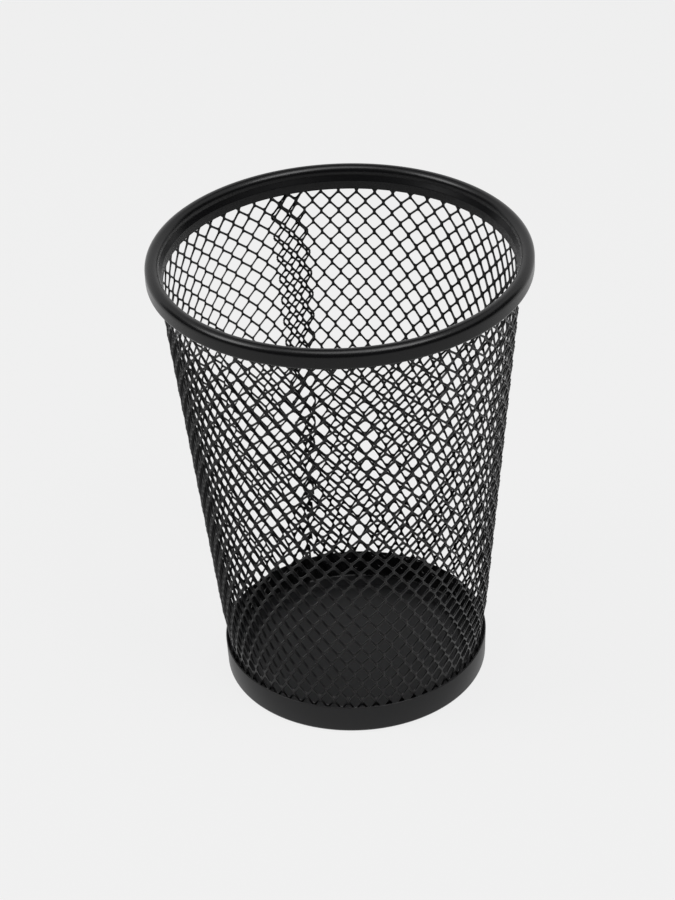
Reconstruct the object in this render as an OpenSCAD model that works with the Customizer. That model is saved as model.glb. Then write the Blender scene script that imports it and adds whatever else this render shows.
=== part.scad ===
// Round tapered pen cup: a wall of expanded steel mesh between a rolled rim and a pressed base pan.
// Units are millimetres. +Z is up and the origin is the centre of the face that the cup stands on.

/* [Cup] */
// Outside diameter across the rim
rim_d = 80; // [72:1:100]
// Height from the table to the top of the rim
cup_h = 103; // [80:1:140]
// Outside diameter of the base, at the top edge of its skirt
base_d = 58.2; // [52:0.2:66]

/* [Rim] */
// Thickness of the steel strip that the rim is rolled from
rim_t = 0.35; // [0.25:0.05:0.5]
// Width of the rounded bead along the top of the rim
bead_w = 2.9; // [2.4:0.1:3.6]
// Turn of the bead past its inner side, down to the crease above the inner band
bead_turn = 20; // [5:1:40]
// Depth of the rim's outer side, below the top of the bead
rim_side_h = 4; // [3.6:0.1:6]
// Outside radius of the rolled edge along the bottom of the outer side
rim_edge_r = 0.7; // [0.5:0.1:1]
// Depth of the rim's inner band, below the top of the bead
rim_band_h = 4.8; // [4.2:0.1:8]
// Distance by which the band's lower edge stands inside the bead
band_inset = 0.7; // [0.5:0.1:1]
// Height of the slanted crease between the bead and the band
crease_h = 0.65; // [0.4:0.05:1]

/* [Mesh] */
// Thickness of the expanded steel sheet
mesh_t = 0.3; // [0.2:0.05:0.4]
// Width of one strand of the sheet
strand_w = 0.7; // [0.5:0.05:1.1]
// Diamonds across the sheet, with those in the overlap
mesh_cells = 30; // [18:1:31]
// Half rows of diamonds between the two edges of the sheet
mesh_half_rows = 19; // [9:1:19]
// Distance by which a knuckle of the sheet rises out on its left and sinks in on its right
knuckle_rise = 0.18; // [0:0.01:0.25]
// Angle over which the two ends of the sheet overlap
overlap_turn = 14; // [6:1:24]
// Angle over which the outer end of the sheet steps out to the overlap
step_turn = 20; // [12:1:40]
// Direction of the overlap's middle, from +X towards +Y
overlap_angle = 109.5; // [0:0.5:360]

/* [Base] */
// Thickness of the base pan
base_t = 0.35; // [0.3:0.05:0.6]
// Height of the pan's skirt
skirt_h = 6.8; // [5:0.1:12]
// Distance by which the skirt leans in towards its foot
skirt_draft = 0.2; // [0:0.05:0.4]
// Outside radius of the pan's rounded edge
base_edge_r = 0.9; // [0.7:0.1:1.4]
// Width of the flat ring that the cup stands on
stand_w = 3.5; // [2.5:0.1:6]
// Rise of the floor inside that ring
floor_rise = 0.5; // [0.2:0.1:1.2]
// Width of the slope up to the raised floor
floor_slope_w = 1; // [0.6:0.1:2]

/* [Fits] */
// Clearance between the sheet and the rim or pan that it seats in
seat_gap = 0.06; // [0.04:0.01:0.2]
// Clearance between the two layers of the sheet along the seam
layer_gap = 0.06; // [0.04:0.01:0.2]

/* [Hidden] */
$fn = 96;
steel_black = "#1d1e21";
wire_black = "#17181b";
pan_black = "#232427";

// Rim, from its outer radius inwards
rim_r = rim_d / 2;
rim_low_z = cup_h - rim_side_h;
bead_r = bead_w / 2;
bead_axis = [rim_r - bead_r, cup_h - bead_r];
band_low_z = cup_h - rim_band_h;
band_low_r = rim_r - bead_w - band_inset;
crease_from_r = bead_axis.x - bead_r * cos(bead_turn);
crease_from_z = bead_axis.y - bead_r * sin(bead_turn);
band_top_z = crease_from_z - crease_h;

// Base pan, from its outer radius inwards
skirt_top_r = base_d / 2;
skirt_foot_r = skirt_top_r - skirt_draft;
stand_out_r = skirt_foot_r - base_edge_r;
stand_in_r = stand_out_r - stand_w;
raised_r = stand_in_r - floor_slope_w;

// Sheet: a cell is one diamond. Strands run straight, so knuckles stand out by the sag of a chord.
sheet_turn = 360 + overlap_turn;
sheet_from = overlap_angle - overlap_turn / 2;
cell_turn = sheet_turn / (mesh_cells - 0.5);

// The wall is a cone. Its inner face seats on the rim's band, and its outer layer in the pan's skirt.
wall_top_r = band_low_r + rim_t + seat_gap;
chord_sag = wall_top_r * (1 - cos(cell_turn / 4));
layer_step = mesh_t + layer_gap + chord_sag;
sheet_depth = chord_sag + layer_step + mesh_t;
wall_foot_r = skirt_top_r - base_t - seat_gap - sheet_depth;
wall_slope = (wall_top_r - wall_foot_r) / (band_low_z - skirt_h);
function wall_r(z) = wall_foot_r + wall_slope * (z - skirt_h);
band_top_r = band_low_r + wall_slope * (band_top_z - band_low_z);
lip_r = wall_r(rim_low_z + rim_t) + sheet_depth + seat_gap;

// The sheet's edges lie inside the rim and inside the pan.
sheet_top_z = band_top_z - seat_gap;
sheet_low_z = base_edge_r + seat_gap;

// Rows keep the length of a strand, so the diamonds grow taller as the cone narrows.
function half_cell_w(z) = wall_r(z) * cell_turn / 2 * PI / 180;
strand_rise = (sheet_top_z - sheet_low_z) / mesh_half_rows;
strand_len = norm([half_cell_w(sheet_top_z), strand_rise]);
function row_rise(share) =
    let (z = sheet_top_z - share * (sheet_top_z - sheet_low_z))
    sqrt(strand_len * strand_len - pow(half_cell_w(z), 2));
row_rises = [for (row = [0:1:mesh_half_rows - 1]) row_rise((row + 0.5) / mesh_half_rows)];
function sum_to(values, count) = count == 0 ? 0 : values[count - 1] + sum_to(values, count - 1);

// A knuckle is where two strands cross: half its width and half its height, seen square on
strand_lean = atan2(half_cell_w(cup_h / 2), strand_rise);
knuckle_half_w = strand_w / (2 * cos(strand_lean));
knuckle_half_h = strand_w / (2 * sin(strand_lean));

// Rows are spread so that the tips of the first and last knuckles end on the sheet's edges.
row_span = sheet_top_z - sheet_low_z - 2 * knuckle_half_h;
row_scale = row_span / sum_to(row_rises, mesh_half_rows);
function row_z(row) = sheet_top_z - knuckle_half_h - row_scale * sum_to(row_rises, row);

// The sheet is pressed flat in the rim and in the pan, and stands in relief between them.
flat_margin = 2;
relief_rise = 8;
function ease(t) = let (x = min(1, max(0, t))) x * x * (3 - 2 * x);
function relief(z) = knuckle_rise
    * ease((z - skirt_h - flat_margin) / relief_rise)
    * ease((band_low_z - flat_margin - z) / relief_rise);

// Along the sheet, its last stretch steps out and lies over its first.
function layer_out(turn, z) =
    ease((turn - 360 + step_turn) / step_turn) * (layer_step + 2 * relief(z));

// One corner of the sheet: turn along the sheet, height, tilt from -1 (in) to 1 (out), depth in the metal
function sheet_point(turn, z, tilt, depth) =
    let (r = wall_r(z) + chord_sag + (1 + tilt) * relief(z) + layer_out(turn, z) + depth)
    [r * cos(sheet_from + turn), r * sin(sheet_from + turn), z];

// Corners of a knuckle: top, right, bottom and left, seen from outside
knuckle_corners = [[0, 1], [1, 0], [0, -1], [-1, 0]];
function knuckle_turn(row, column) = (column + (row % 2) / 2) * cell_turn;
function knuckle_points(row, column) =
    let (z = row_z(row), half_turn = knuckle_half_w / wall_r(z) * 180 / PI)
    [for (depth = [mesh_t, 0]) for (corner = knuckle_corners)
        sheet_point(knuckle_turn(row, column) + corner.x * half_turn,
            z + corner.y * knuckle_half_h, -corner.x, depth)];

// Points 0 to 3 of a knuckle are its outer corners, and 4 to 7 its inner ones.
function first_point(row, column) = 8 * (row * mesh_cells + column);
function in_sheet(row, column) =
    row >= 0 && row <= mesh_half_rows && column >= 0 && column < mesh_cells;
function right_column(row, column) = column + row % 2;
function left_column(row, column) = column + row % 2 - 1;

// Two triangles across four points, given anticlockwise as seen from outside the metal
function quad(a, b, c, d) = [[a, c, b], [a, d, c]];
function knuckle_faces(p) = concat(quad(p + 3, p + 2, p + 1, p), quad(p + 4, p + 5, p + 6, p + 7));
// The end of a knuckle's side between two corners, where no strand leaves it
function side_cap(p, from, to) = quad(p + to, p + to + 4, p + from + 4, p + from);
// A strand from side a-b of knuckle p down to side c-d of knuckle q, with a over b and c over d
function right_strand(p, a, b, q, c, d) = concat(
    quad(p + a, p + b, q + d, q + c),
    quad(p + a + 4, q + c + 4, q + d + 4, p + b + 4),
    quad(p + a, q + c, q + c + 4, p + a + 4),
    quad(p + b, p + b + 4, q + d + 4, q + d));
function left_strand(p, a, b, q, c, d) =
    [for (face = right_strand(p, a, b, q, c, d)) [face[0], face[2], face[1]]];

// All faces of one knuckle and of the two strands that run down from it
function cell_faces(row, column) =
    let (p = first_point(row, column),
        right = right_column(row, column),
        left = left_column(row, column))
    concat(
        knuckle_faces(p),
        in_sheet(row - 1, right) ? [] : side_cap(p, 0, 1),
        in_sheet(row - 1, left) ? [] : side_cap(p, 3, 0),
        in_sheet(row + 1, right) ? right_strand(p, 1, 2, first_point(row + 1, right), 0, 3)
            : side_cap(p, 1, 2),
        in_sheet(row + 1, left) ? left_strand(p, 3, 2, first_point(row + 1, left), 0, 1)
            : side_cap(p, 2, 3));

// Part of a ring between two angles, as a flat outline
module ring_part(radius, thickness, from, to) {
    steps = 24;
    reach = 2 * radius;
    intersection() {
        difference() {
            circle(r = radius);
            circle(r = radius - thickness);
        }
        polygon(concat([[0, 0]], [for (i = [0:1:steps])
            let (a = from + (to - from) * i / steps) reach * [cos(a), sin(a)]]));
    }
}

// Half section of the rim: bead, outer side, rolled lower edge with its lip, crease and inner band
module rim_section() {
    translate(bead_axis) ring_part(bead_r, rim_t, 0, 180 + bead_turn);
    translate([rim_r - rim_t, rim_low_z + rim_edge_r])
        square([rim_t, bead_axis.y - rim_low_z - rim_edge_r]);
    translate([rim_r - rim_edge_r, rim_low_z + rim_edge_r])
        ring_part(rim_edge_r, rim_t, 270, 360);
    translate([lip_r, rim_low_z]) square([rim_r - rim_edge_r - lip_r, rim_t]);
    polygon([
        [crease_from_r, crease_from_z],
        [band_top_r, band_top_z],
        [band_low_r, band_low_z],
        [band_low_r + rim_t, band_low_z],
        [band_top_r + rim_t, band_top_z],
        [crease_from_r + rim_t * cos(bead_turn), crease_from_z + rim_t * sin(bead_turn)]]);
}

// Half section of the pan: skirt, rounded edge, ring that the cup stands on, and raised floor
module base_section() {
    polygon([
        [skirt_foot_r - base_t, base_edge_r],
        [skirt_foot_r, base_edge_r],
        [skirt_top_r, skirt_h],
        [skirt_top_r - base_t, skirt_h]]);
    translate([stand_out_r, base_edge_r]) ring_part(base_edge_r, base_t, 270, 360);
    polygon([
        [0, floor_rise],
        [raised_r, floor_rise],
        [stand_in_r, 0],
        [stand_out_r, 0],
        [stand_out_r, base_t],
        [stand_in_r, base_t],
        [raised_r, floor_rise + base_t],
        [0, floor_rise + base_t]]);
}

// Steel strip rolled into a ring, with the sheet's upper edge between its band and its lip
module rim() {
    color(steel_black) rotate_extrude() rim_section();
}

// One sheet of slit and stretched steel, rolled into a cone with its ends overlapped
module mesh_wall() {
    cells = [for (row = [0:1:mesh_half_rows]) for (column = [0:1:mesh_cells - 1]) [row, column]];
    color(wire_black)
        polyhedron(
            points = [for (cell = cells) each knuckle_points(cell[0], cell[1])],
            faces = [for (cell = cells) each cell_faces(cell[0], cell[1])],
            convexity = 6);
}

// Dish pressed from sheet steel, with the mesh's lower edge inside its skirt
module base_pan() {
    color(pan_black) rotate_extrude() base_section();
}

rim();
mesh_wall();
base_pan();
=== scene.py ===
"""A round tapered pen cup of black expanded-steel mesh, dressed for its picture on a plain pale floor.

Sizes are in millimetres and angles in degrees. Meshes are built in metres, in the frame of the CAD model.
"""
import logging
import math
from dataclasses import dataclass
from enum import IntEnum
from typing import Any, Optional, Sequence, Union

import bmesh
import bpy
import numpy as np
from mathutils import Matrix, Vector


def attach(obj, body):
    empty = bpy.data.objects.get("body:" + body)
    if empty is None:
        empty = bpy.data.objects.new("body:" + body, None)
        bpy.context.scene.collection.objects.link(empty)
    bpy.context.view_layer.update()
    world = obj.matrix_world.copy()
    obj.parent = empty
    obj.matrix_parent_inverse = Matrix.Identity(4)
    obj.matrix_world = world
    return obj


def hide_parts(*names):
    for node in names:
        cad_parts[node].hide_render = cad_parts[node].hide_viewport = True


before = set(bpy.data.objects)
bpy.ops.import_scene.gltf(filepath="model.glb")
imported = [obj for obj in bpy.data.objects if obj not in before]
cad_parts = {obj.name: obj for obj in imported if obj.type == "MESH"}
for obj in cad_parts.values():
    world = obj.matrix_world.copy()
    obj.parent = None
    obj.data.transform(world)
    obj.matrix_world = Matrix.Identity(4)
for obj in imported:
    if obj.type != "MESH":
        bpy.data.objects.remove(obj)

LOG = logging.getLogger("pen_cup")
MM = 0.001
BODY = "root"
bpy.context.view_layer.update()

Point = tuple[float, float]
Triple = tuple[float, float, float]
Faces = list[tuple[int, ...]]
Cell = tuple[int, int]
Arms = list[tuple[np.ndarray, np.ndarray]]
Number = Union[int, float]

DEEP_BLACK: Triple = (0.004, 0.004, 0.0044)
SOFT_BLACK: Triple = (0.01, 0.01, 0.0106)


def grey(level: float) -> tuple[float, float, float, float]:
    """A neutral colour of one linear level."""
    return (level, level, level, 1.0)


def ease(t: float) -> float:
    """A smooth step from 0 to 1 as t goes from 0 to 1."""
    x = min(1.0, max(0.0, t))
    return x * x * (3 - 2 * x)


def rotated(arm: np.ndarray, angle: float) -> np.ndarray:
    """A flat vector turned anticlockwise by an angle in radians."""
    cos, sin = math.cos(angle), math.sin(angle)
    return np.array((arm[0] * cos - arm[1] * sin, arm[0] * sin + arm[1] * cos))


def round_axis(r: float, angle: float, z: float) -> Triple:
    """The place at a radius, an angle in radians from +X towards +Y, and a height."""
    return (r * math.cos(angle), r * math.sin(angle), z)


def nearest_turn(angle: float, near: float) -> float:
    """A direction in degrees, with the full turns added that bring it nearest to another one."""
    return near + (angle - near + 180) % 360 - 180


# ---------------------------------------------------------------- shader maths


class Value:
    """A socket that carries a number, with arithmetic that adds Math nodes."""

    def __init__(self, graph: "Graph", socket: Optional[bpy.types.NodeSocket]) -> None:
        """Wraps one output socket of the graph, or none for a node without outputs."""
        self.graph = graph
        self.socket = socket

    def _math(self, operation: str, first: "Term", second: "Term") -> "Value":
        """A Math node on two terms."""
        return self.graph.node("ShaderNodeMath", {"operation": operation}, {0: first, 1: second})

    def __add__(self, other: "Term") -> "Value":
        """self + other."""
        return self._math("ADD", self, other)

    def __radd__(self, other: "Term") -> "Value":
        """other + self."""
        return self._math("ADD", other, self)

    def __sub__(self, other: "Term") -> "Value":
        """self - other."""
        return self._math("SUBTRACT", self, other)

    def __rsub__(self, other: "Term") -> "Value":
        """other - self."""
        return self._math("SUBTRACT", other, self)

    def __mul__(self, other: "Term") -> "Value":
        """self * other."""
        return self._math("MULTIPLY", self, other)

    def __rmul__(self, other: "Term") -> "Value":
        """other * self."""
        return self._math("MULTIPLY", other, self)

    def at_most(self, other: "Term") -> "Value":
        """The smaller of self and other."""
        return self._math("MINIMUM", self, other)


Term = Union[Value, Number]


class Graph:
    """The node tree of one material or world."""

    def __init__(self, tree: bpy.types.NodeTree) -> None:
        """Starts from an empty tree."""
        self.tree = tree
        tree.nodes.clear()

    def node(
        self,
        kind: str,
        settings: Optional[dict[str, Any]] = None,
        inputs: Optional[dict[Union[int, str], Any]] = None,
        output: Union[int, str] = 0,
    ) -> Value:
        """Adds one node.

        Args:
            kind: The node's type name.
            settings: Its properties, such as a Math node's operation, set before its sockets.
            inputs: Values or links of its input sockets, by name or number.
            output: The output socket that the result carries.

        Returns:
            The chosen output socket.
        """
        made = self.tree.nodes.new(kind)
        for name, value in (settings or {}).items():
            setattr(made, name, value)
        for name, value in (inputs or {}).items():
            if isinstance(value, Value):
                self.tree.links.new(value.socket, made.inputs[name])
            else:
                made.inputs[name].default_value = value
        return Value(self, made.outputs[output] if made.outputs else None)

    def background_rays(self) -> Value:
        """Tells the rays that see the background from those that light things.

        Returns:
            1 for the camera's rays and for those of gloss and of glass, else 0.
        """
        seen = [
            self.node("ShaderNodeLightPath", output=name)
            for name in ("Is Camera Ray", "Is Glossy Ray", "Is Transmission Ray")
        ]
        return (seen[0] + seen[1] + seen[2]).at_most(1.0)


def new_material(name: str) -> tuple[bpy.types.Material, Graph]:
    """Makes a material without nodes.

    Args:
        name: Its name.

    Returns:
        The material and its node tree.
    """
    material = bpy.data.materials.new(name)
    material.use_nodes = True
    return material, Graph(material.node_tree)


# ---------------------------------------------------------------- finishes


@dataclass(frozen=True)
class BakedPaint:
    """Satin black paint that was sprayed on steel and baked.

    Attributes:
        slot: The material slot, which names the material too.
        colour: Its linear colour.
        roughness: How wide its gloss spreads.
        gloss: Specular level of its surface.
        peel_mm: Spacing of the fine ripple that such paint dries with.
        peel_height_mm: Height of that ripple.
        speck_mm: Spacing of the finest changes in colour.
        cloud_mm: Spacing of the slight changes in colour and gloss.
        colour_spread: How much of the colour changes from place to place.
        roughness_spread: How much the roughness does.
    """

    slot: str
    colour: Triple
    roughness: float
    gloss: float = 0.25
    peel_mm: float = 0.7
    peel_height_mm: float = 0.004
    speck_mm: float = 0.175
    cloud_mm: float = 14.0
    colour_spread: float = 0.18
    roughness_spread: float = 0.06

    CLOUD_DETAIL = 3.0
    PEEL_DETAIL = 2.0
    SPECK_DETAIL = 1.0
    NOISE_MIDDLE = 0.5

    def material(self) -> bpy.types.Material:
        """Builds the material.

        Returns:
            The new material.
        """
        material, graph = new_material(self.slot)
        place = graph.node("ShaderNodeTexCoord", output="Object")
        clouds = self._noise(graph, place, self.cloud_mm, self.CLOUD_DETAIL)
        ripple = self._noise(graph, place, self.peel_mm, self.PEEL_DETAIL)
        specks = self._noise(graph, place, self.speck_mm, self.SPECK_DETAIL)
        cloud_shade = (clouds - self.NOISE_MIDDLE) * self.colour_spread
        speck_shade = (specks - self.NOISE_MIDDLE) * self.colour_spread
        shade = 1.0 + cloud_shade + speck_shade
        colour = graph.node(
            "ShaderNodeVectorMath", {"operation": "SCALE"}, {0: self.colour, "Scale": shade}
        )
        roughness = self.roughness + (clouds - self.NOISE_MIDDLE) * self.roughness_spread
        normal = graph.node(
            "ShaderNodeBump",
            inputs={"Height": ripple, "Distance": self.peel_height_mm * MM, "Strength": 1.0},
        )
        shader = graph.node(
            "ShaderNodeBsdfPrincipled",
            inputs={
                "Base Color": colour,
                "Roughness": roughness,
                "Specular IOR Level": self.gloss,
                "Normal": normal,
            },
        )
        graph.node("ShaderNodeOutputMaterial", inputs={"Surface": shader})
        return material

    @staticmethod
    def _noise(graph: Graph, place: Value, spacing_mm: float, detail: float) -> Value:
        """Adds a noise texture.

        Args:
            graph: The paint's node tree.
            place: Coordinates on the piece.
            spacing_mm: About how far apart its features are.
            detail: How much finer noise it holds.

        Returns:
            Noise from 0 to 1.
        """
        return graph.node(
            "ShaderNodeTexNoise",
            inputs={"Vector": place, "Scale": 1 / (spacing_mm * MM), "Detail": detail},
        )

    def dress(self, piece: bpy.types.Object) -> None:
        """Puts the paint on a piece and names the slot that it comes from.

        Args:
            piece: The piece to paint.
        """
        piece.data.materials.clear()
        piece.data.materials.append(self.material())


# ---------------------------------------------------------------- mesh tools


def add_object(name: str, data: bpy.types.ID) -> bpy.types.Object:
    """Adds an object to the scene.

    Args:
        name: Its name.
        data: Its mesh, lamp or camera.

    Returns:
        The new object.
    """
    added = bpy.data.objects.new(name, data)
    bpy.context.scene.collection.objects.link(added)
    return added


def add_mesh(name: str, points: Sequence[Triple], faces: Faces) -> bpy.types.Object:
    """Adds an object with a new mesh to the scene.

    Args:
        name: Their name.
        points: Corners in metres.
        faces: Corner numbers of each face.

    Returns:
        The new object.
    """
    mesh = bpy.data.meshes.new(name)
    mesh.from_pydata(points, [], faces)
    return add_object(name, mesh)


def make_piece(name: str, points: Sequence[Triple], faces: Faces) -> bpy.types.Object:
    """Makes one smooth-shaded piece that rides on the cup.

    Args:
        name: The piece's name.
        points: Corners in millimetres.
        faces: Corner numbers of each face, anticlockwise as seen from outside.

    Returns:
        The new object.
    """
    piece = add_mesh(name, (np.asarray(points, float) * MM).tolist(), faces)
    piece.data.shade_smooth()
    piece.data.update()
    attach(piece, BODY)
    return piece


@dataclass(frozen=True)
class Corner:
    """One corner of a bent strip's middle line.

    Attributes:
        r: Distance from the cup's axis.
        z: Height.
        bend: Radius of the bend there, 0 at the strip's ends.
    """

    r: float
    z: float
    bend: float = 0.0

    @property
    def place(self) -> np.ndarray:
        """The corner as a vector."""
        return np.array((self.r, self.z))


@dataclass(frozen=True)
class Strip:
    """Half section of a steel strip that is bent to a profile and turned round the cup's axis.

    Attributes:
        thickness: The strip's thickness.
        corners: Its middle line, from one end to the other.
        bend_step: Largest turn between two points of a bend.
        least_steps: Fewest steps of a bend.
        end_steps: Steps of the half circle that rounds each cut edge.
        turn_steps: Points round the cup.
    """

    thickness: float
    corners: tuple[Corner, ...]
    bend_step: float = 6.0
    least_steps: int = 2
    end_steps: int = 5
    turn_steps: int = 288

    AXIS_REACH_M = 1e-7

    def middle_line(self) -> np.ndarray:
        """The middle line with its corners rounded.

        Returns:
            Points as rows of (r, z).
        """
        line = [self.corners[0].place]
        for before, corner, after in zip(self.corners, self.corners[1:], self.corners[2:]):
            line.extend(self._bend(before.place, corner, after.place))
        line.append(self.corners[-1].place)
        return np.array(line)

    def _bend(self, before: np.ndarray, corner: Corner, after: np.ndarray) -> list[np.ndarray]:
        """Rounds one corner.

        Args:
            before: The place of the corner before it.
            corner: The corner.
            after: The place of the corner after it.

        Returns:
            Points of the arc.
        """
        way_in = (corner.place - before) / np.linalg.norm(corner.place - before)
        way_out = (after - corner.place) / np.linalg.norm(after - corner.place)
        turn = math.atan2(way_in[0] * way_out[1] - way_in[1] * way_out[0], way_in @ way_out)
        start = corner.place - way_in * corner.bend * math.tan(abs(turn) / 2)
        side = np.array((-way_in[1], way_in[0])) * math.copysign(1.0, turn)
        centre = start + side * corner.bend
        steps = max(self.least_steps, math.ceil(abs(math.degrees(turn)) / self.bend_step))
        arm = -side * corner.bend
        return [centre + rotated(arm, turn * step / steps) for step in range(steps + 1)]

    def outline(self) -> list[Point]:
        """The strip's closed outline, with rounded cut edges.

        Returns:
            Points (r, z). A strip that starts on the axis is left open there.
        """
        line = self.middle_line()
        along = np.gradient(line, axis=0)
        along /= np.linalg.norm(along, axis=1)[:, None]
        left = np.stack([-along[:, 1], along[:, 0]], axis=1) * self.thickness / 2
        points = list(line - left) + self._end(line[-1], -left[-1])
        points += list((line + left)[::-1])
        if line[0][0] > 0:
            points += self._end(line[0], left[0])
        return [(float(r), float(z)) for r, z in points]

    def _end(self, middle: np.ndarray, arm: np.ndarray) -> list[np.ndarray]:
        """Points of the half circle from middle + arm round to middle - arm, without its two ends."""
        steps = self.end_steps
        return [middle + rotated(arm, math.pi * step / steps) for step in range(1, steps)]

    def turned(self, name: str) -> bpy.types.Object:
        """Turns the outline round the cup's axis.

        Args:
            name: The piece's name.

        Returns:
            The new piece.
        """
        outline = self.outline()
        open_at_axis = outline[0][0] <= 0
        points, faces = [], []
        for step in range(self.turn_steps):
            angle = 2 * math.pi * step / self.turn_steps
            points += [round_axis(r, angle, z) for r, z in outline]
        count = len(outline)
        for step in range(self.turn_steps):
            here, there = step * count, (step + 1) % self.turn_steps * count
            for k in range(count - 1 if open_at_axis else count):
                after = (k + 1) % count
                faces.append((here + k, there + k, there + after, here + after))
        piece = make_piece(name, points, faces)
        if open_at_axis:
            self._close_axis(piece)
        return piece

    def _close_axis(self, piece: bpy.types.Object) -> None:
        """Merges the points that lie on the axis.

        Args:
            piece: A turned piece whose strip starts there.
        """
        work = bmesh.new()
        work.from_mesh(piece.data)
        on_axis = [v for v in work.verts if math.hypot(v.co.x, v.co.y) < self.AXIS_REACH_M]
        bmesh.ops.remove_doubles(work, verts=on_axis, dist=self.AXIS_REACH_M)
        work.to_mesh(piece.data)
        work.free()
        piece.data.shade_smooth()


# ---------------------------------------------------------------- rim and base pan


@dataclass(frozen=True)
class Rim:
    """Steel strip rolled over the mesh's upper edge: bead, outer side, crease and inner band.

    Attributes:
        outer_d: Outside diameter.
        top_z: Height of the top of the bead.
        thickness: The strip's thickness.
        bead_w: Width of the bead.
        bead_turn: How far the bead turns past its inner side.
        side_h: Depth of the outer side, below the top of the bead.
        edge_r: Outside radius of the rolled lower edge.
        lip_r: Radius at which the lip under the outer side ends.
        band_h: Depth of the inner band, below the top of the bead.
        band_inset: How far the band's lower edge stands inside the bead.
        band_slope: How far the band widens for each step up.
        crease_h: Height of the slanted crease between bead and band.
        crease_run, crease_bend: Straight run from the bead to the crease, and radius of the bend there.
        band_bend: Radius of the bend between crease and band.
        paint: Its finish.
    """

    outer_d: float = 80.0
    top_z: float = 103.0
    thickness: float = 0.35
    bead_w: float = 2.9
    bead_turn: float = 20.0
    side_h: float = 4.0
    edge_r: float = 0.7
    lip_r: float = 37.76
    band_h: float = 4.8
    band_inset: float = 0.7
    band_slope: float = 0.0973
    crease_h: float = 1.2
    crease_run: float = 0.15
    crease_bend: float = 0.19
    band_bend: float = 0.3
    paint: BakedPaint = BakedPaint("rim_paint", DEEP_BLACK, roughness=0.27)

    def strip(self) -> Strip:
        """The rim's half section.

        Returns:
            The strip, from its lip under the outer side to the lower edge of its inner band.
        """
        half = self.thickness / 2
        bead = self.bead_w / 2 - half
        axis = np.array((self.outer_d / 2 - self.bead_w / 2, self.top_z - self.bead_w / 2))
        low_z = self.top_z - self.side_h + half
        side_r = self.outer_d / 2 - half
        # The bead is bent in two halves, whose corners lie where the tangents at their ends meet.
        half_turn = (180 + self.bead_turn) / 2
        reach = bead / math.cos(math.radians(half_turn / 2))
        first, second = (axis + reach * self._direction(half_turn * share) for share in (0.5, 1.5))
        bead_end = axis + bead * self._direction(2 * half_turn)
        crease = bead_end + self.crease_run * self._direction(2 * half_turn + 90)
        band_low = np.array(
            (self.outer_d / 2 - self.bead_w - self.band_inset + half, self.top_z - self.band_h)
        )
        band_top_z = bead_end[1] - self.crease_h
        band_top_r = band_low[0] + self.band_slope * (band_top_z - band_low[1])
        return Strip(
            self.thickness,
            (
                Corner(self.lip_r + half, low_z),
                Corner(side_r, low_z, self.edge_r - half),
                Corner(*first, bead),
                Corner(*second, bead),
                Corner(*crease, self.crease_bend),
                Corner(band_top_r, band_top_z, self.band_bend),
                Corner(*band_low),
            ),
        )

    @staticmethod
    def _direction(angle: float) -> np.ndarray:
        """Unit vector (r, z) at an angle from straight outwards towards straight up."""
        return np.array((math.cos(math.radians(angle)), math.sin(math.radians(angle))))

    def build(self) -> bpy.types.Object:
        """Makes the painted rim in the place of its CAD node.

        Returns:
            The new piece.
        """
        piece = self.strip().turned("rolled_rim")
        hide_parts("rim")
        self.paint.dress(piece)
        return piece


@dataclass(frozen=True)
class BasePan:
    """Dish pressed from sheet steel: skirt, rounded edge, ring that it stands on and raised floor.

    Attributes:
        top_d: Outside diameter at the top edge of the skirt.
        thickness: The sheet's thickness.
        skirt_h: Height of the skirt.
        skirt_draft: How far the skirt leans in towards its foot.
        edge_r: Outside radius of the rounded edge.
        stand_w: Width of the ring that the cup stands on.
        slope_w: Width of the slope up to the floor.
        floor_rise: Height of the floor's underside.
        press_bend: Radius of the bends on both sides of the slope.
        paint: Its finish.
    """

    top_d: float = 58.2
    thickness: float = 0.35
    skirt_h: float = 6.8
    skirt_draft: float = 0.2
    edge_r: float = 0.9
    stand_w: float = 3.5
    slope_w: float = 1.0
    floor_rise: float = 0.5
    press_bend: float = 1.2
    paint: BakedPaint = BakedPaint("pan_paint", SOFT_BLACK, roughness=0.36)

    def strip(self) -> Strip:
        """The pan's half section.

        Returns:
            The strip, from the centre of the floor to the top edge of the skirt.
        """
        half = self.thickness / 2
        foot_r = self.top_d / 2 - self.skirt_draft
        stand_out_r = foot_r - self.edge_r
        stand_in_r = stand_out_r - self.stand_w
        lean = self.skirt_draft / (self.skirt_h - self.edge_r)
        foot_corner_r = foot_r - half - lean * (self.edge_r - half)
        return Strip(
            self.thickness,
            (
                Corner(0.0, self.floor_rise + half),
                Corner(stand_in_r - self.slope_w, self.floor_rise + half, self.press_bend),
                Corner(stand_in_r, half, self.press_bend),
                Corner(foot_corner_r, half, self.edge_r - half),
                Corner(self.top_d / 2 - half, self.skirt_h - half),
            ),
        )

    def build(self) -> bpy.types.Object:
        """Makes the painted pan in the place of its CAD node.

        Returns:
            The new piece.
        """
        piece = self.strip().turned("pressed_pan")
        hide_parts("base_pan")
        self.paint.dress(piece)
        return piece


# ---------------------------------------------------------------- mesh wall


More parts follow.
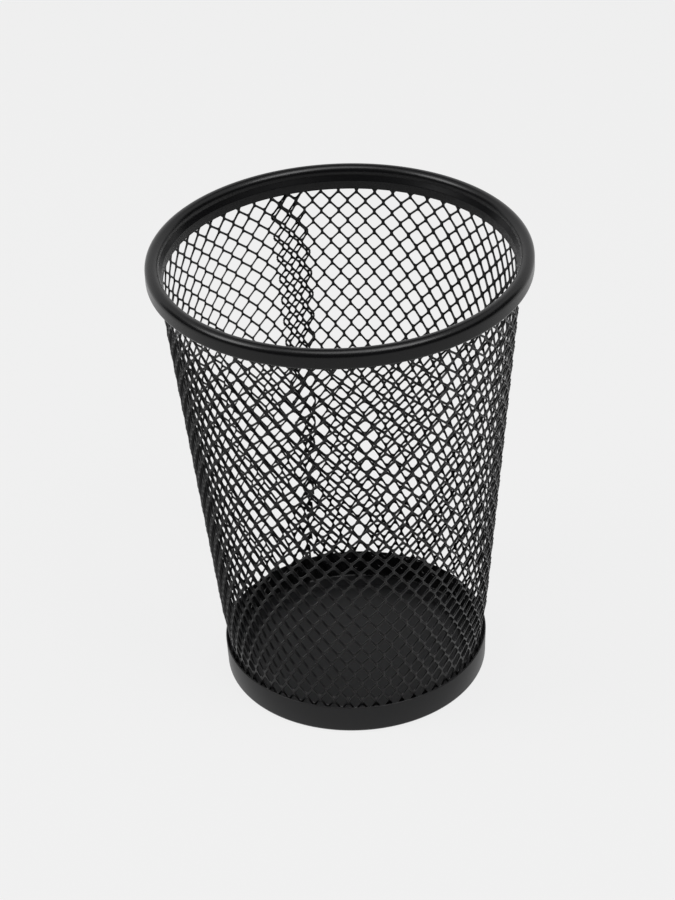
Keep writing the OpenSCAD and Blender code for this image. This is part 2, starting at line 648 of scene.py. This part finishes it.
class Arm(IntEnum):
    """The four strands that leave a knuckle, anticlockwise as seen from outside the cup."""

    UP_RIGHT = 0
    UP_LEFT = 1
    DOWN_LEFT = 2
    DOWN_RIGHT = 3

    @property
    def rises(self) -> bool:
        """Whether it leaves its knuckle upwards."""
        return self in (Arm.UP_RIGHT, Arm.UP_LEFT)

    @property
    def leftward(self) -> bool:
        """Whether it leaves its knuckle to the left."""
        return self in (Arm.UP_LEFT, Arm.DOWN_LEFT)

    @property
    def falls_right(self) -> bool:
        """Whether its strand falls to the right."""
        return self in (Arm.UP_LEFT, Arm.DOWN_RIGHT)

    def turned(self, places: int) -> "Arm":
        """The arm that is so many places further round the knuckle."""
        return Arm((self + places) % len(Arm))

    def beyond(self, cell: Cell) -> Cell:
        """Row and column of the knuckle at its other end, where it leaves the one of a cell."""
        return cell[0] + (-1 if self.rises else 1), cell[1] + (-1 if self.leftward else 1)


class Gap(IntEnum):
    """The four openings round a knuckle. Opening k lies between arm k and arm k + 1."""

    ABOVE = 0
    LEFT = 1
    BELOW = 2
    RIGHT = 3

    @property
    def arms(self) -> tuple[Arm, Arm]:
        """The arms on its two sides, anticlockwise."""
        return Arm(self), Arm(self).turned(1)


# The openings that lie along the left edge of a strand, each with that strand
LEFT_EDGES = (
    (Gap.ABOVE, Arm.UP_RIGHT),
    (Gap.LEFT, Arm.UP_LEFT),
    (Gap.LEFT, Arm.DOWN_LEFT),
    (Gap.BELOW, Arm.DOWN_RIGHT),
)
# Points of an opening's corner, and of the ring that the four corners round a knuckle make
CORNER = 3
RING = CORNER * len(Gap)


class Skin(IntEnum):
    """The three rings of points through a strand's thickness."""

    OUTER = 0
    MIDDLE = 1
    INNER = 2

    @property
    def depth(self) -> float:
        """How far out it lies from the middle of the metal, in thicknesses."""
        return (1 - self) / 2


@dataclass(frozen=True)
class Trend:
    """A number that changes smoothly from the top of the wall to its foot.

    Attributes:
        start: Its value near the top.
        gain: What it gains in proportion to the way down.
        bend: What it gains in proportion to the square of the way down.
    """

    start: float
    gain: float = 0.0
    bend: float = 0.0

    def at(self, share: float) -> float:
        """The number, share of the way down."""
        return self.start + (self.gain + self.bend * share) * share


@dataclass(frozen=True)
class Wave:
    """One wave in the spacing of the sheet's columns, in degrees round the cup.

    Attributes:
        order: Waves in one turn of the cup.
        sine: Its sine part.
        cosine: Its cosine part.
    """

    order: int
    sine: Trend
    cosine: Trend

    def at(self, angle: float, share: float) -> float:
        """The wave's height at an angle in radians, share of the way down."""
        turned = self.order * angle
        return self.sine.at(share) * math.sin(turned) + self.cosine.at(share) * math.cos(turned)


@dataclass(frozen=True)
class SheetEnd:
    """One end of the sheet, where its columns were pulled out less and so its rows lie further apart.

    Attributes:
        column: The column at that end.
        turn: How far that column lies from its place in an endless sheet, in degrees.
        lift: How much higher its first row lies.
        side: 1 for the last column's end, -1 for the first one's.
        reach: Columns over which both fade.
    """

    column: float
    turn: Trend
    lift: float
    side: int
    reach: float = 8.0

    def fade(self, column: float) -> float:
        """How strongly the end acts on a column, 1 at the end itself."""
        return math.exp(self.side * (column - self.column) / self.reach)


@dataclass(frozen=True)
class Pucker:
    """A place where the sheet lies a little to one side of its even stretch.

    Attributes:
        column, row: Its middle.
        columns, rows: How far it reaches across and down.
        turn: How far it shifts the knuckles round the cup, in degrees.
        lift: How far it shifts them up.
    """

    column: float
    row: float
    columns: float
    rows: float
    turn: float = 0.0
    lift: float = 0.0

    def fade(self, column: float, row: float) -> float:
        """How strongly it acts on a knuckle, 1 in its middle."""
        across, down = (column - self.column) / self.columns, (row - self.row) / self.rows
        return math.exp(-(across**2) - down**2)


@dataclass(frozen=True)
class Stretch:
    """How the sheet was pulled out and wrapped: the direction of each of its columns of knuckles.

    Columns count half diamonds along the sheet, and rows half diamonds from its top.

    Attributes:
        middle_column, middle: A column half way along the sheet, and its direction.
        pitch: Turn from one column to the next.
        phase: Angle of the waves at that column.
        top_row, gain_rows: The row at which each trend starts, and the rows over which it gains.
        waves, ends, puckers: What the sheet's even stretch is changed by.
    """

    middle_column: float = 58.0
    middle: Trend = Trend(288.14, -0.85, 0.46)
    pitch: Trend = Trend(3.2518, 0.1347, -0.1657)
    phase: float = -30.95
    top_row: float = 3.0
    gain_rows: float = 30.0
    waves: tuple[Wave, ...] = (
        Wave(1, Trend(-1.56, -0.2, -0.18), Trend(-0.11, 2.92, -5.04)),
        Wave(2, Trend(0.48, 0.54), Trend(0.14, -0.5)),
        Wave(3, Trend(0.23, -1.51), Trend(-0.09, -0.54)),
    )
    ends: tuple[SheetEnd, ...] = (
        SheetEnd(117.0, Trend(-8.36, -0.03), 2.31, 1),
        SheetEnd(0.0, Trend(5.52, 6.13), 1.87, -1),
    )
    puckers: tuple[Pucker, ...] = (
        Pucker(118.0, 2.0, 3.0, 4.0, turn=1.7),
        Pucker(113.5, 8.0, 1.3, 40.0, lift=0.8),
        Pucker(5.0, 9.0, 4.0, 5.0, turn=-1.1),
        Pucker(1.5, 8.0, 2.0, 40.0, turn=-0.6),
        Pucker(-1.0, 8.0, 3.0, 40.0, lift=0.3),
    )

    def direction(self, column: float, row: float) -> float:
        """The direction of a place on the sheet.

        Args:
            column: Half diamonds along the sheet.
            row: Half diamonds down from the first row.

        Returns:
            Degrees from +X towards +Y, growing past 360 where the sheet overlaps itself.
        """
        share = (row - self.top_row) / self.gain_rows
        turn = self.pitch.at(share) * (column - self.middle_column)
        angle = math.radians(turn + self.phase)
        waves = sum(wave.at(angle, share) for wave in self.waves)
        pulled = sum(end.turn.at(share) * end.fade(column) for end in self.ends)
        return self.middle.at(share) + turn + waves + pulled

    def lift(self, column: float) -> float:
        """How much higher than in an endless sheet the first row lies at a column."""
        return sum(end.lift * end.fade(column) for end in self.ends)

    def pucker(self, column: float, row: float) -> tuple[float, float]:
        """How far a knuckle lies from its place in an even sheet.

        Args:
            column: The knuckle's column.
            row: Its row.

        Returns:
            The distance in degrees round the cup, and up.
        """
        fades = [pucker.fade(column, row) for pucker in self.puckers]
        turn = sum(pucker.turn * fade for pucker, fade in zip(self.puckers, fades))
        return turn, sum(pucker.lift * fade for pucker, fade in zip(self.puckers, fades))


@dataclass(frozen=True)
class Knuckle:
    """The middle of one knuckle.

    Attributes:
        direction: Degrees round the cup.
        z: Height.
    """

    direction: float
    z: float


@dataclass
class MeshWall:
    """One sheet of slit and stretched steel, rolled into a cone with its two ends overlapped.

    Attributes:
        rim, pan: The pieces that hold its edges.
        first_column, last_column: The columns of knuckles at its two ends.
        stiff_columns: Columns at each end whose rows are spaced as those next to them.
        rows: The last row that is tried.
        strand_length: From one knuckle's middle to the next one's.
        strand_w: Width of a strand.
        flat_thickness, relief_thickness: Thickness where it is pressed flat, and what relief adds.
        bridge: Height between the two pairs of strands that a knuckle joins.
        edge_round: How far a strand's faces are narrower than its middle, on each side.
        gap_round, cut_round: Radius of an opening's corners, and of those that were cut through.
        cut_reach: How far a cut knuckle reaches past its middle.
        knuckle_rise: How far a knuckle's left side stands out beyond its right side.
        falling_twist, rising_twist: The same of the strands that fall and that rise to the right.
        first_row_z: Height of the first row.
        first_row_tilt, first_row_lean: How much higher that row lies at the back and at the left.
        foot_r, slope: Radius of the inner face at the pan's skirt, and its gain for each step up.
        rest_depth, relief_depth: From there to the metal's middle, and what relief adds.
        flat_margin, relief_reach: Height that is flat beside rim and pan, and of the change to relief.
        layer_step, relief_step: How far the outer layer steps out, and what relief adds.
        full_overlap, step_turn: Direction where that step ends, and the angle that it takes.
        edge_gap: From the pan's rounded edge up to the sheet.
        rim_overlap: From the rim's lower edge up to that of the sheet.
        least_stub: Length of the shortest cut end beyond its knuckle.
        stub_room: What the longest one leaves free of its strand, in reaches of a knuckle.
        sharp_edge: Angle between two faces from which their edge isn't smoothed.
        stretch: How its columns are spread round the cup.
        paint: Its finish.
    """

    rim: Rim
    pan: BasePan
    first_column: int = -1
    last_column: int = 117
    stiff_columns: int = 4
    rows: int = 44
    strand_length: float = 3.0769
    strand_w: float = 0.49
    flat_thickness: float = 0.3
    relief_thickness: float = 0.1
    bridge: float = 0.46
    edge_round: float = 0.09
    gap_round: float = 0.42
    cut_round: float = 0.14
    cut_reach: float = 0.2
    knuckle_rise: float = 0.18
    falling_twist: float = 0.25
    rising_twist: float = 0.0
    first_row_z: float = 98.98
    first_row_tilt: float = 0.01
    first_row_lean: float = -0.365
    foot_r: float = 27.92
    slope: float = 0.0973
    rest_depth: float = 0.207
    relief_depth: float = 0.18
    flat_margin: float = 2.0
    relief_reach: float = 8.0
    layer_step: float = 0.32
    relief_step: float = 0.34
    full_overlap: float = 458.0
    step_turn: float = 20.0
    edge_gap: float = 0.06
    rim_overlap: float = 0.7
    least_stub: float = 0.02
    stub_room: float = 2.2
    sharp_edge: float = 55.0
    stretch: Stretch = Stretch()
    paint: BakedPaint = BakedPaint("mesh_paint", DEEP_BLACK, roughness=0.34)

    BACK = 90.0
    SINGLE_LAYER = 0.0

    def __post_init__(self) -> None:
        """Places the knuckles and starts empty lists of points and faces."""
        self.points: list[Triple] = []
        self.faces: Faces = []
        self.columns = range(self.first_column - 1, self.last_column + 2)
        self.knuckles = self._place_knuckles()
        self.rings: dict[Cell, int] = {}

    @property
    def top_z(self) -> float:
        """Height of the sheet's upper cut edge, a little up inside the rim."""
        return self.rim.top_z - self.rim.side_h + self.rim_overlap

    @property
    def low_z(self) -> float:
        """Height of the sheet's lower cut edge, above the pan's rounded edge."""
        return self.pan.edge_r + self.edge_gap

    def _within(self, z: float) -> float:
        """A height, kept between the sheet's two cut edges."""
        return min(max(z, self.low_z), self.top_z)

    def relief(self, z: float) -> float:
        """How much of its relief the sheet has at a height.

        Args:
            z: The height.

        Returns:
            1 in the open wall, and 0 where rim and pan press the sheet flat.
        """
        over_pan = (z - self.pan.skirt_h - self.flat_margin) / self.relief_reach
        band_z = self.rim.top_z - self.rim.band_h
        under_rim = (band_z - self.flat_margin - z) / self.relief_reach
        return ease(over_pan) * ease(under_rim)

    def radius(self, direction: float, z: float) -> float:
        """Radius of the middle of the metal.

        Args:
            direction: Degrees round the cup.
            z: Height.

        Returns:
            The radius there.
        """
        relief = self.relief(z)
        inner = self.foot_r + self.slope * (z - self.pan.skirt_h)
        stepped = ease((direction - self.full_overlap + self.step_turn) / self.step_turn)
        layer = stepped * (self.layer_step + self.relief_step * relief)
        return inner + self.rest_depth + self.relief_depth * relief + layer

    def _place_knuckles(self) -> dict[Cell, Knuckle]:
        """Places every knuckle. Strands keep their length, so rows are closer where columns spread out.

        Returns:
            The knuckles by row and column.
        """
        directions = {
            (row, column): self.stretch.direction(column, row)
            for row in range(-1, self.rows + 1)
            for column in range(self.columns[0] - 1, self.columns[-1] + 2)
        }
        placed: dict[Cell, Knuckle] = {}
        first, last = self.first_column + self.stiff_columns, self.last_column - self.stiff_columns
        for column in self.columns:
            inner = min(max(column, first), last)
            from_back = math.radians(directions[0, column] - self.BACK)
            z = self.first_row_z + self.first_row_tilt * math.cos(from_back)
            z += self.first_row_lean * math.sin(from_back) + self.stretch.lift((column + inner) / 2)
            above = self._rise(directions, -1, inner, z)
            placed[-1, column] = Knuckle(directions[-1, column], z + above)
            placed[0, column] = Knuckle(directions[0, column], z)
            for row in range(1, self.rows + 1):
                z -= self._rise(directions, row - 1, inner, z)
                turn, lift = self.stretch.pucker(column, row)
                placed[row, column] = Knuckle(directions[row, column] + turn, z + lift)
        return placed

    def _rise(self, directions: dict[Cell, float], row: int, column: int, z: float) -> float:
        """Height between two rows, from the strand's length and the mean spacing of the columns.

        Args:
            directions: Degrees round the cup, by row and column.
            row: The upper row.
            column: The column.
            z: Height of the row that is already placed.

        Returns:
            The height.
        """
        spread = sum(directions[r, column + 1] - directions[r, column - 1] for r in (row, row + 1)) / 4
        half_width = self.radius(self.SINGLE_LAYER, z) * math.radians(spread)
        return math.sqrt(self.strand_length**2 - half_width**2)

    def in_sheet(self, cell: Cell) -> bool:
        """Whether the sheet has a knuckle there.

        Args:
            cell: Row and column.

        Returns:
            True if it has.
        """
        row, column = cell
        if not (self.first_column <= column <= self.last_column and 0 <= row <= self.rows):
            return False
        z = self.knuckles[cell].z
        reach = self.strand_w
        return (row + column) % 2 == 0 and self.low_z + reach < z < self.top_z - reach

    def build(self) -> bpy.types.Object:
        """Makes the painted sheet in the place of its CAD node.

        Returns:
            The new piece.
        """
        cells = [
            (row, column)
            for row in range(self.rows + 1)
            for column in range(self.first_column, self.last_column + 1)
            if self.in_sheet((row, column))
        ]
        for cell in cells:
            self._add_knuckle(cell)
        for cell in cells:
            for arm in Arm:
                if not self.in_sheet(arm.beyond(cell)):
                    self._add_stub(cell, arm)
                elif not arm.rises:
                    self._add_strand(cell, arm)
        piece = make_piece("mesh_sheet", self.points, self.faces)
        piece.data.set_sharp_from_angle(angle=math.radians(self.sharp_edge))
        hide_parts("mesh_wall")
        self.paint.dress(piece)
        return piece

    def _arms(self, cell: Cell) -> Arms:
        """The middle lines of a knuckle's four arms on the unrolled sheet.

        Args:
            cell: The knuckle's row and column.

        Returns:
            For each arm, where it starts (right, up) from the knuckle's middle, and its direction.
        """
        here = self.knuckles[cell]
        radius = self.radius(here.direction, here.z)
        arms = []
        for arm in Arm:
            there = self.knuckles[arm.beyond(cell)]
            start = np.array((0.0, self.bridge / 2 if arm.rises else -self.bridge / 2))
            end = (radius * math.radians(there.direction - here.direction), there.z - here.z)
            way = np.array(end) - 2 * start
            arms.append((start, way / np.linalg.norm(way)))
        return arms

    def _gap_corner(self, gap: Gap, arms: Arms, inset: float, rounding: float) -> list[np.ndarray]:
        """The rounded corner of one opening: its start on one arm, its middle and its end on the next.

        Args:
            gap: Which opening.
            arms: Starts and directions of the four arms.
            inset: Distance by which the metal's edge is drawn in from its widest.
            rounding: Radius of the corner.

        Returns:
            Three points (right, up) from the knuckle's middle.
        """
        (start, first), (far_start, second) = (arms[arm] for arm in gap.arms)
        half_w = self.strand_w / 2 - inset
        edge = start + half_w * np.array((-first[1], first[0]))
        far_edge = far_start + half_w * np.array((second[1], -second[0]))
        along, _ = np.linalg.solve(np.array((first, -second)).T, far_edge - edge)
        apex = edge + along * first
        bend = rounding + inset
        half_angle = math.acos(max(-1.0, min(1.0, float(first @ second)))) / 2
        bisector = (first + second) / np.linalg.norm(first + second)
        reach = bend / math.tan(half_angle)
        middle = apex + bisector * bend * (1 / math.sin(half_angle) - 1)
        return [apex + first * reach, middle, apex + second * reach]

    def _add_knuckle(self, cell: Cell) -> None:
        """Adds the rings of a knuckle, its two faces and the rounded corners of the openings round it.

        Args:
            cell: Its row and column.
        """
        column = cell[1]
        arms = self._arms(cell)
        here = self.knuckles[cell]
        start = len(self.points)
        self.rings[cell] = start
        for skin in Skin:
            inset = 0.0 if skin is Skin.MIDDLE else self.edge_round
            for gap in Gap:
                corner = self._gap_corner(gap, arms, inset, self._rounding(column, gap))
                for point, out in zip(corner, self._depths(gap, here.z)):
                    self._add_point(here, self._cut_back(column, point), out, skin)
        self.faces.append(tuple(range(start, start + RING)))
        self.faces.append(tuple(reversed(range(start + 2 * RING, start + 3 * RING))))
        for gap in Gap:
            first = start + CORNER * gap
            for point in range(first, first + CORNER - 1):
                self._add_side(point, point + 1)

    def _cut_back(self, column: int, point: np.ndarray) -> np.ndarray:
        """Draws a point of a knuckle back to the cut line where the sheet ends.

        Args:
            column: The knuckle's column.
            point: The point, (right, up) from the knuckle's middle.

        Returns:
            The point, moved only at the sheet's ends.
        """
        side = {self.first_column: -1, self.last_column: 1}.get(column, 0)
        if side * point[0] <= self.cut_reach:
            return point
        half_h = self.bridge / 2
        return np.array((side * self.cut_reach, min(max(point[1], -half_h), half_h)))

    def _rounding(self, column: int, gap: Gap) -> float:
        """Radius of an opening's corner, small where the opening was cut away at the sheet's ends."""
        cut = (column, gap) in ((self.first_column, Gap.LEFT), (self.last_column, Gap.RIGHT))
        return self.cut_round if cut else self.gap_round

    def _depths(self, gap: Gap, z: float) -> tuple[float, float, float]:
        """How far the three points of an opening's corner stand out.

        The left half of a knuckle stands out and its right half in. Each strand is also twisted, so that
        its left edge stands out, more in the strands that fall to the right than in the others.

        Args:
            gap: The opening.
            z: The knuckle's height.

        Returns:
            The three distances outwards.
        """
        ends = []
        for arm in gap.arms:
            rise = self.knuckle_rise if arm.leftward else -self.knuckle_rise
            twist = self.falling_twist if arm.falls_right else self.rising_twist
            edge = twist if (gap, arm) in LEFT_EDGES else -twist
            ends.append((rise + edge) / 2 * self.relief(z))
        return ends[0], (ends[0] + ends[1]) / 2, ends[1]

    def _add_point(self, here: Knuckle, point: np.ndarray, out: float, skin: Skin) -> None:
        """Adds one corner of the metal.

        Args:
            here: The knuckle that it belongs to.
            point: Its place, (right, up) from the knuckle's middle.
            out: How far the metal stands out there.
            skin: The ring that it belongs to.
        """
        z = self._within(here.z + float(point[1]))
        radius = self.radius(here.direction, here.z)
        direction = here.direction + math.degrees(float(point[0]) / radius)
        thickness = self.flat_thickness + self.relief_thickness * self.relief(here.z)
        r = self.radius(direction, z) + out + skin.depth * thickness
        self.points.append(round_axis(r, math.radians(direction), z))

    def _add_side(self, first: int, second: int) -> None:
        """Adds the rounded side of the metal between two points of an outer ring."""
        for a, b in ((first, second), (first + RING, second + RING)):
            self.faces.append((a, a + RING, b + RING, b))

    def _root(self, cell: Cell, arm: Arm) -> tuple[int, int]:
        """The outer points where an arm leaves its knuckle, on its right and on its left."""
        start = self.rings[cell]
        return start + CORNER * arm.turned(-1) + CORNER - 1, start + CORNER * arm

    def _add_strand(self, cell: Cell, arm: Arm) -> None:
        """Adds the strand between two knuckles.

        Args:
            cell: Row and column of the upper one.
            arm: The arm of it that becomes the strand.
        """
        right, left = self._root(cell, arm)
        far_right, far_left = self._root(arm.beyond(cell), arm.turned(2))
        outer = (right, far_left, far_right, left)
        self.faces.append(outer)
        self.faces.append(tuple(point + 2 * RING for point in reversed(outer)))
        self._add_side(right, far_left)
        self._add_side(far_right, left)

    def _add_stub(self, cell: Cell, arm: Arm) -> None:
        """Closes an arm that was cut, at the sheet's edge or a little past its knuckle.

        Args:
            cell: The knuckle's row and column.
            arm: The cut arm.
        """
        here = self.knuckles[cell]
        way = self._arms(cell)[arm][1]
        run = way * self._stub_length(cell, arm, way)
        right, left = self._root(cell, arm)
        edges = []
        for skin in Skin:
            near, far = right + RING * skin, left + RING * skin
            end = len(self.points)
            self._add_stub_point(self.points[near], here, run)
            self._add_stub_point(self.points[far], here, run)
            edges.append((near, end, end + 1, far))
        outer, middle, inner = edges
        self.faces += [outer, inner[::-1]]
        for upper, lower in ((outer, middle), (middle, inner)):
            for k in range(len(upper) - 1):
                self.faces.append((upper[k], lower[k], lower[k + 1], upper[k + 1]))

    def _stub_length(self, cell: Cell, arm: Arm, way: np.ndarray) -> float:
        """Length of a cut arm beyond its knuckle.

        Args:
            cell: The knuckle's row and column.
            arm: The cut arm.
            way: Its direction (right, up).

        Returns:
            The length to the sheet's upper or lower edge, or next to none at its two ends.
        """
        at_end = cell[1] in (self.first_column, self.last_column)
        if at_end and arm.beyond(cell)[0] >= 0:
            return self.least_stub
        here = self.knuckles[cell]
        reach = self.strand_w / 2 + self.gap_round
        height = self.top_z - here.z if arm.rises else here.z - self.low_z
        room = height / abs(float(way[1])) - reach
        return min(max(room, self.least_stub), self.strand_length - self.stub_room * reach)

    def _add_stub_point(self, root: Triple, here: Knuckle, run: np.ndarray) -> None:
        """Adds the far end of one edge of a cut arm.

        Args:
            root: Where that edge leaves the knuckle.
            here: The knuckle.
            run: From there to the far end (right, up).
        """
        x, y, z = root
        r = math.hypot(x, y)
        direction = nearest_turn(math.degrees(math.atan2(y, x)), here.direction)
        end_z = self._within(z + float(run[1]))
        end_direction = direction + math.degrees(float(run[0]) / r)
        end_r = r + (self.radius(end_direction, end_z) - self.radius(direction, z))
        self.points.append(round_axis(end_r, math.radians(end_direction), end_z))


# ---------------------------------------------------------------- studio


@dataclass(frozen=True)
class Lamp:
    """A soft lamp that points at the cup.

    Attributes:
        name: Its name.
        size: Its width and its height, in metres.
        distance: From the cup, in metres.
        elevation: Above the horizon.
        azimuth: From +X towards +Y.
        power: In watts.
    """

    name: str
    size: tuple[float, float]
    distance: float
    elevation: float
    azimuth: float
    power: float

    def build(self) -> None:
        """Makes the lamp."""
        light = bpy.data.lights.new(self.name, "AREA")
        light.shape = "ELLIPSE"
        light.size, light.size_y = self.size
        light.energy = self.power
        rise, turn = math.radians(self.elevation), math.radians(self.azimuth)
        way = Vector((math.cos(rise) * math.cos(turn), math.cos(rise) * math.sin(turn), math.sin(rise)))
        lamp = add_object(self.name, light)
        lamp.location = way * self.distance
        lamp.rotation_euler = way.to_track_quat("Z", "Y").to_euler()


@dataclass(frozen=True)
class Flag:
    """A dark curved screen that only gloss and soft light meet.

    Attributes:
        name: Its name.
        azimuth: Direction of its middle, from +X towards +Y.
        half_turn: Half of the angle that it covers.
        low, high: Elevations of its two edges, seen from the cup.
        level: Linear colour of its cloth.
        radius: Its distance from the cup, in metres.
        steps: Flat strips that it is made of.
    """

    name: str
    azimuth: float
    half_turn: float
    low: float
    high: float
    level: float = 0.02
    radius: float = 1.6
    steps: int = 24

    def build(self) -> None:
        """Makes the screen."""
        points, faces = [], []
        for step in range(self.steps + 1):
            angle = math.radians(self.azimuth + self.half_turn * (2 * step / self.steps - 1))
            for elevation in (self.low, self.high):
                z = self.radius * math.tan(math.radians(elevation))
                points.append(round_axis(self.radius, angle, z))
            if step:
                here = 2 * step
                faces.append((here - 2, here - 1, here + 1, here))
        screen = add_mesh(self.name, points, faces)
        material, graph = new_material(self.name)
        cloth = graph.node("ShaderNodeBsdfDiffuse", inputs={"Color": grey(self.level)})
        graph.node("ShaderNodeOutputMaterial", inputs={"Surface": cloth})
        screen.data.materials.append(material)
        screen.visible_camera = False


@dataclass(frozen=True)
class Studio:
    """Pale floor and background, with the lamps and the dark screens round the cup.

    Attributes:
        pale: Linear level of the floor and of the background.
        shadow_share: Share of the floor's light that the cup can shade.
        floor_size_m: Side of the floor.
        floor_gap: How far the floor lies below the cup.
        fill: Level of the soft light from all round.
        lamps, flags: The lamps and the dark screens.
    """

    pale: float = 0.871
    shadow_share: float = 0.06
    floor_size_m: float = 60.0
    floor_gap: float = 0.05
    fill: float = 0.32
    lamps: tuple[Lamp, ...] = (
        Lamp("overhead", (0.6, 0.5), 1.1, 78.0, -90.0, 3.0),
        Lamp("left_lamp", (0.5, 0.5), 1.1, 48.0, 190.0, 5.0),
        Lamp("right_lamp", (0.5, 0.5), 1.1, 60.0, -42.0, 5.0),
    )
    flags: tuple[Flag, ...] = (
        Flag("front_flag", -90.0, 62.0, 0.0, 58.0),
        Flag("back_flag", 90.0, 40.0, 48.0, 72.0),
        Flag("left_flag", 187.0, 34.0, 0.0, 34.0),
        Flag("right_flag", -7.0, 34.0, 0.0, 34.0),
    )

    def build(self) -> None:
        """Makes the floor, the background, the lamps and the screens."""
        self._floor()
        self._world()
        for part in self.lamps + self.flags:
            part.build()

    def _floor(self) -> None:
        """A large pale floor just under the cup, which keeps a soft shadow."""
        half = self.floor_size_m / 2
        z = -self.floor_gap * MM
        corners = [(-half, -half, z), (half, -half, z), (half, half, z), (-half, half, z)]
        floor = add_mesh("floor", corners, [(0, 1, 2, 3)])
        material, graph = new_material("floor_paper")
        paper = graph.node("ShaderNodeBsdfDiffuse", inputs={"Color": grey(self.pale)})
        glow = graph.node("ShaderNodeEmission", inputs={"Color": grey(self.pale), "Strength": 1.0})
        share = graph.background_rays() * (1 - self.shadow_share)
        surface = graph.node("ShaderNodeMixShader", inputs={0: share, 1: paper, 2: glow})
        graph.node("ShaderNodeOutputMaterial", inputs={"Surface": surface})
        floor.data.materials.append(material)

    def _world(self) -> None:
        """The pale background, and a weaker soft light from all round for matt surfaces."""
        world = bpy.data.worlds.new("studio")
        bpy.context.scene.world = world
        world.use_nodes = True
        graph = Graph(world.node_tree)
        level = self.fill + graph.background_rays() * (self.pale - self.fill)
        sky = graph.node("ShaderNodeBackground", inputs={"Color": grey(1.0), "Strength": level})
        graph.node("ShaderNodeOutputWorld", inputs={"Surface": sky})


@dataclass(frozen=True)
class Camera:
    """The camera of the picture, from above the front of the cup.

    Attributes:
        distance: From the point that it would look at if it weren't turned.
        elevation: Of its line of sight, above the horizon.
        aim_z: Height of that point on the cup's axis.
        pan, tilt, roll: Small turns of the camera about its own axes.
        focal_px: Focal length in pixels of the picture.
        long_side_px: Height of the picture.
        sensor_mm: Side of the sensor that takes that height.
        clip_start_m: Distance from which things are shown.
    """

    distance: float = 589.14
    elevation: float = 34.15
    aim_z: float = 45.0
    pan: float = 0.219
    tilt: float = -0.759
    roll: float = -2.545
    focal_px: float = 2721.3
    long_side_px: float = 900.0
    sensor_mm: float = 36.0
    clip_start_m: float = 0.01

    def build(self) -> None:
        """Makes the camera and sets it as the scene's."""
        rise = math.radians(self.elevation)
        forward = Vector((0.0, math.cos(rise), -math.sin(rise)))
        right = Vector((1.0, 0.0, 0.0))
        down = forward.cross(right)
        level = Matrix((right, down, forward))
        turn = (
            Matrix.Rotation(math.radians(self.roll), 3, "Z")
            @ Matrix.Rotation(math.radians(self.tilt), 3, "X")
            @ Matrix.Rotation(math.radians(self.pan), 3, "Y")
        )
        axes = turn @ level
        body = Matrix((axes[0], -axes[1], -axes[2])).transposed().to_4x4()
        place = Vector((0.0, 0.0, self.aim_z)) - forward * self.distance
        body.translation = place * MM
        data = bpy.data.cameras.new("camera")
        data.sensor_width = self.sensor_mm
        data.lens = self.focal_px * self.sensor_mm / self.long_side_px
        data.clip_start = self.clip_start_m
        camera = add_object("camera", data)
        camera.matrix_world = body
        bpy.context.scene.camera = camera


def main() -> None:
    """Builds the cup's three pieces, the studio and the camera."""
    logging.basicConfig(level=logging.INFO, format="%(name)s: %(message)s")
    bpy.context.scene.view_settings.view_transform = "Standard"
    rim, pan = Rim(), BasePan()
    for part in (rim, pan, MeshWall(rim, pan)):
        piece = part.build()
        points, faces = len(piece.data.vertices), len(piece.data.polygons)
        LOG.info("%s: %d points, %d faces", piece.name, points, faces)
    Studio().build()
    Camera().build()


if __name__ == "__main__":
    main()
